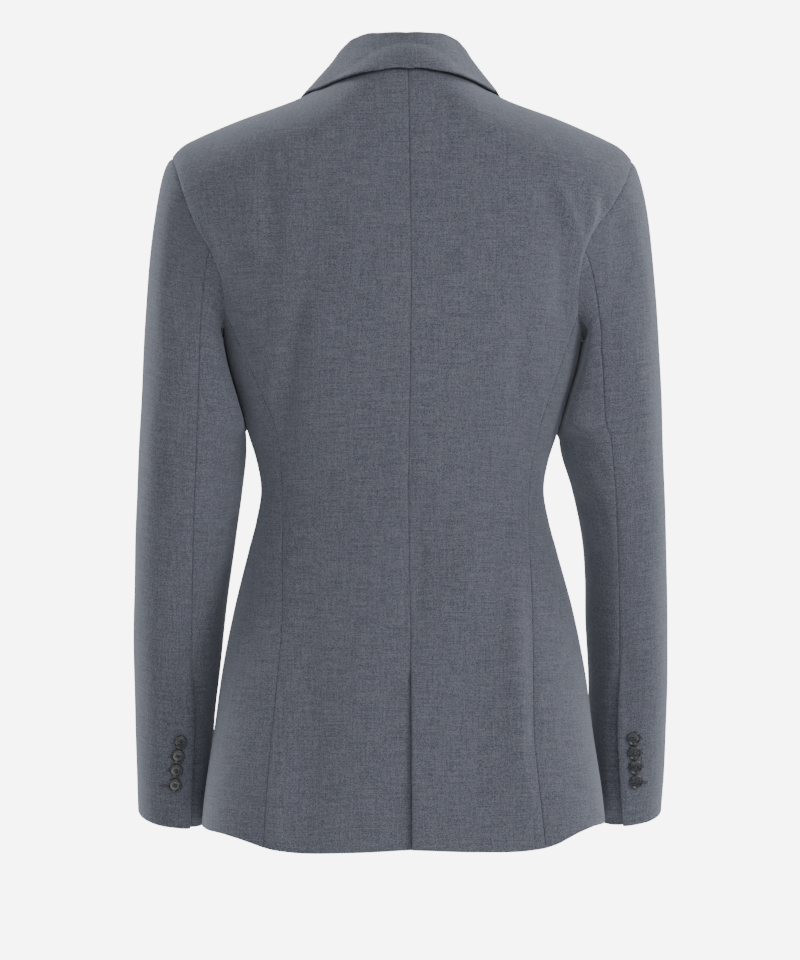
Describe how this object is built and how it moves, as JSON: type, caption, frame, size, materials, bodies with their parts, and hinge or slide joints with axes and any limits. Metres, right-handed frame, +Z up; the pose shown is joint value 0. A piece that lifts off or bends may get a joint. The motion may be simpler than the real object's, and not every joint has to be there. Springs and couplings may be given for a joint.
{
  "type": "single breasted blazer",
  "caption": "Fitted single breasted blazer with notched collar, panelled back, vent and buttoned cuffs, filled out as worn.",
  "frame": {"origin": "on the neck's upright axis, level with the shoulder line where it runs under the collar, inside the garment where the wearer's shoulders hold it", "axes": "+Z up, the front of the garment faces -Y, the wearer's left is +X"},
  "size_m": [0.5022, 0.2549, 0.7469],
  "materials": {
    "wool_cloth": "soft plain-weave wool, blue-grey melange",
    "cuff_button": "dark horn-like, satin",
    "front_button": "dark horn-like, satin"
  },
  "bodies": {
    "root": {"back_left": "wool_cloth", "back_right": "wool_cloth", "side_left": "wool_cloth", "side_right": "wool_cloth", "front_left": "wool_cloth", "front_right": "wool_cloth", "top_sleeve_left": "wool_cloth", "top_sleeve_right": "wool_cloth", "under_sleeve_left": "wool_cloth", "under_sleeve_right": "wool_cloth", "upper_collar": "wool_cloth", "under_collar": "wool_cloth", "cuff_button_left_1": "cuff_button", "cuff_button_left_2": "cuff_button", "cuff_button_left_3": "cuff_button", "cuff_button_left_4": "cuff_button", "cuff_button_right_1": "cuff_button", "cuff_button_right_2": "cuff_button", "cuff_button_right_3": "cuff_button", "cuff_button_right_4": "cuff_button", "front_button": "front_button"}
  },
  "joints": []
}
